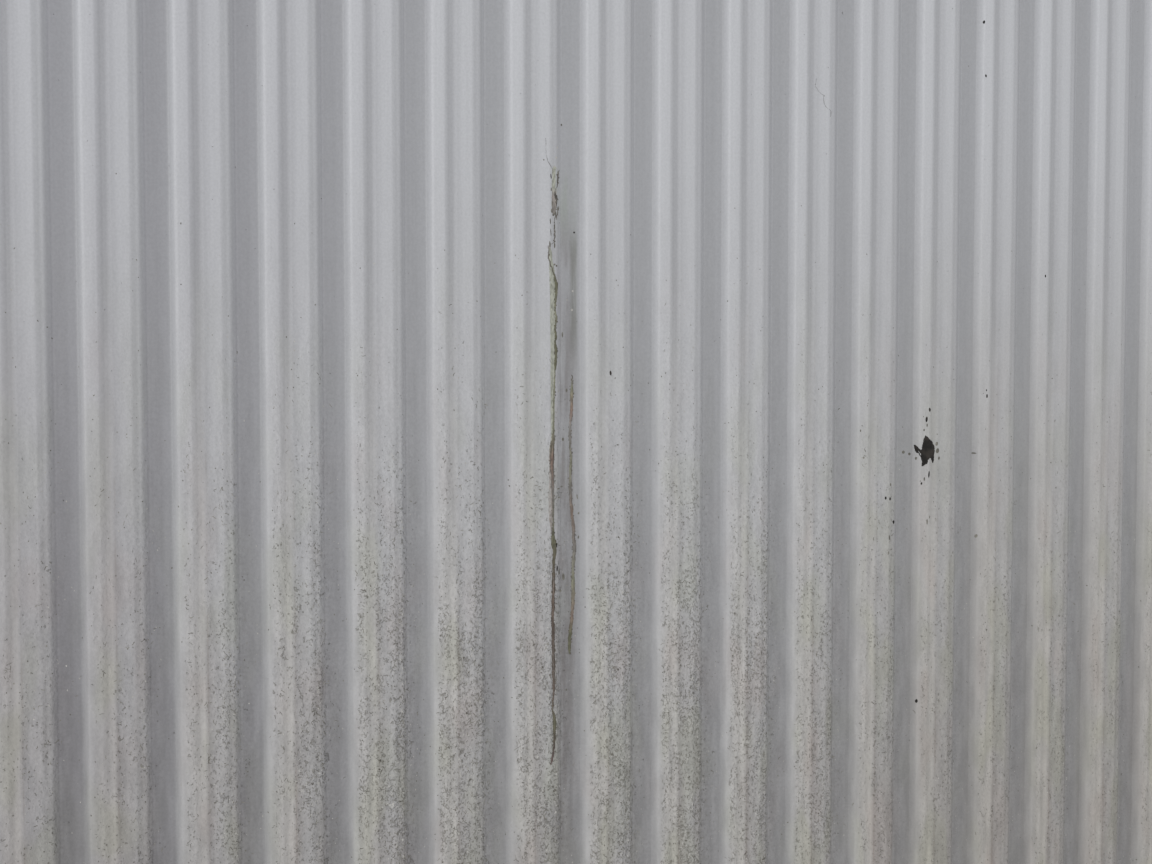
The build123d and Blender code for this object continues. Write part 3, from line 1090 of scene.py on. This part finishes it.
def crowding_at(x, y):
    """How crowded the splashed dirt is at a place of the sheet, from 0 to 1."""
    place = (x - FIRST_RIB_X) % PITCH
    thinning = 1.0
    for start, end, full, thin in (LEFT_THINNING, RIGHT_THINNING):
        thinning *= full + (thin - full) * smooth_share(x, start, end)
    rise = strength_at(HIGHER_SPLASH, place) * SPLASH_RISE
    return smooth_share(y - rise, *SPECK_REACH) * strength_at(SPECK_SETTLING, place) * thinning


def random_place(chance):
    """A place of the splashed stretch of the sheet."""
    return (chance.uniform(SHEET_LOW.x + EDGE_MARGIN, SHEET_HIGH.x - EDGE_MARGIN),
            chance.uniform(SHEET_LOW.y + EDGE_MARGIN, SPECK_REACH[0]))


def scatter_grit(name, seed, finish):
    """Crumbs of dried dirt on the painted face, crowded where the splashes reach."""
    chance = random.Random(seed)
    pile = DirtPile(name, make_crumbs(roundness=1))
    placed = 0
    while placed < GRIT_COUNT:
        x, y = random_place(chance)
        if chance.random() < crowding_at(x, y):
            size = Vector((chance.uniform(*GRIT_WIDTH), chance.uniform(*GRIT_LENGTH), GRIT_HEIGHT * 2.0))
            pile.lay(x, y, size, chance.gauss(0.0, GRIT_TURN), chance)
            placed += 1
    pile.finish(finish)


def scatter_threads(name, seed, finish):
    """Crooked threads of dried dirt, lying in clusters where the splashes reach."""
    chance = random.Random(seed)
    pile = DirtPile(name, make_threads())
    placed = 0
    while placed < THREAD_COUNT:
        middle_x, middle_y = random_place(chance)
        if chance.random() > crowding_at(middle_x, middle_y) ** 2:
            continue
        for number in range(chance.randint(*CLUSTER_SIZE)):
            x = chance.gauss(middle_x, CLUSTER_ACROSS)
            x = min(max(x, SHEET_LOW.x + EDGE_MARGIN), SHEET_HIGH.x - EDGE_MARGIN)
            y = max(chance.gauss(middle_y, CLUSTER_ALONG), SHEET_LOW.y + EDGE_MARGIN)
            if chance.random() < crowding_at(x, y) * THREAD_CROWDING:
                width = chance.uniform(*THREAD_WIDTH)
                size = Vector((width, chance.uniform(*THREAD_LENGTH), THREAD_HEIGHT * 2.0))
                pile.lay(x, y, size, chance.gauss(0.0, THREAD_TURN), chance)
                placed += 1
    pile.finish(finish)


def bead_drips(name, finish):
    """Small beads of dirt along both edges of the two drips."""
    chance = random.Random(BEAD_SEED)
    pile = DirtPile(name, make_crumbs(roundness=1))
    for stations in (LEFT_DRIP, RIGHT_DRIP):
        along = stations[0][0]
        while along > stations[-1][0]:
            across, width = between(stations, along)
            across += chance.choice((-0.5, 0.5)) * width + chance.gauss(0.0, BEAD_STRAY)
            bead_width = chance.uniform(*GRIT_WIDTH)
            size = Vector((bead_width, chance.uniform(*GRIT_LENGTH) * BEAD_STRETCH, GRIT_HEIGHT * 2.0))
            pile.lay(*on_rib(DRIP_RIB, across, along), size, chance.gauss(0.0, BEAD_TURN), chance)
            along -= chance.uniform(*BEAD_GAPS)
    pile.finish(finish)


def place_flecks(name, flecks, finish):
    """Single flecks of splashed dirt at chosen places."""
    chance = random.Random(len(flecks))
    pile = DirtPile(name, make_crumbs(roundness=2))
    for rib, across, along, width, length in flecks:
        size = Vector((width * MM, length * MM, FLECK_HEIGHT * 2.0))
        pile.lay(*on_rib(rib, across, along), size, chance.gauss(0.0, FLECK_TURN), chance)
    pile.finish(finish)


bpy.context.scene.view_settings.view_transform = "Standard"
make_camera()
make_lights()
make_floor()
SHEET.data.materials.clear()
SHEET.data.materials.append(make_painted_steel())

grit_finish = make_dirt_finish("dried_grit", *DRIED_GRIT)
spatter_finish = make_dirt_finish("dark_spatter", *DARK_SPATTER)
bead_finish = make_dirt_finish("drip_beads", *DRIP_BEADS)
hair_finish = make_dirt_finish("hair_mark", *HAIR_MARKS)
pale_grit_finish = make_dirt_finish("pale_grit", *PALE_GRIT)
thread_finish = make_dirt_finish("dried_threads", *DRIED_THREADS)
scatter_grit("dark_splash_grit", seed=7, finish=grit_finish)
scatter_grit("pale_splash_grit", seed=8, finish=pale_grit_finish)
scatter_threads("dark_splash_threads", seed=9, finish=grit_finish)
scatter_threads("brown_splash_threads", seed=10, finish=thread_finish)
lay_strip("upper_film", DRIP_RIB, UPPER_FILM, FILM_CROWN, make_drip_finish("upper_film", UPPER_FILM_COLOURS))
lay_strip("olive_film", DRIP_RIB, FILM_BAND, FILM_CROWN, make_drip_finish("olive_film", FILM_BAND_COLOURS))
lay_strip("left_drip", DRIP_RIB, LEFT_DRIP, DRIP_CROWN, make_drip_finish("left_drip", LEFT_DRIP_COLOURS))
core_finish = make_drip_finish("drip_core", DRIP_CORE_COLOURS)
lay_strip("upper_drip_core", DRIP_RIB, UPPER_DRIP_CORE, CORE_CROWN, core_finish)
lay_strip("lower_drip_core", DRIP_RIB, LOWER_DRIP_CORE, CORE_CROWN, core_finish)
lay_strip("right_drip", DRIP_RIB, RIGHT_DRIP, DRIP_CROWN, make_drip_finish("right_drip", RIGHT_DRIP_COLOURS))
bead_drips("drip_beads", bead_finish)
lay_strip("hair_mark", HAIR_MARK_RIB, HAIR_MARK, FILM_CROWN, hair_finish)
lay_strip("upper_hair_mark", DRIP_RIB, UPPER_HAIR_MARK, FILM_CROWN, hair_finish)
lay_splat(spatter_finish)
place_flecks("dark_flecks", DARK_FLECKS, spatter_finish)
place_flecks("faint_flecks", FAINT_FLECKS, grit_finish)
place_flecks("pale_flecks", PALE_FLECKS, pale_grit_finish)
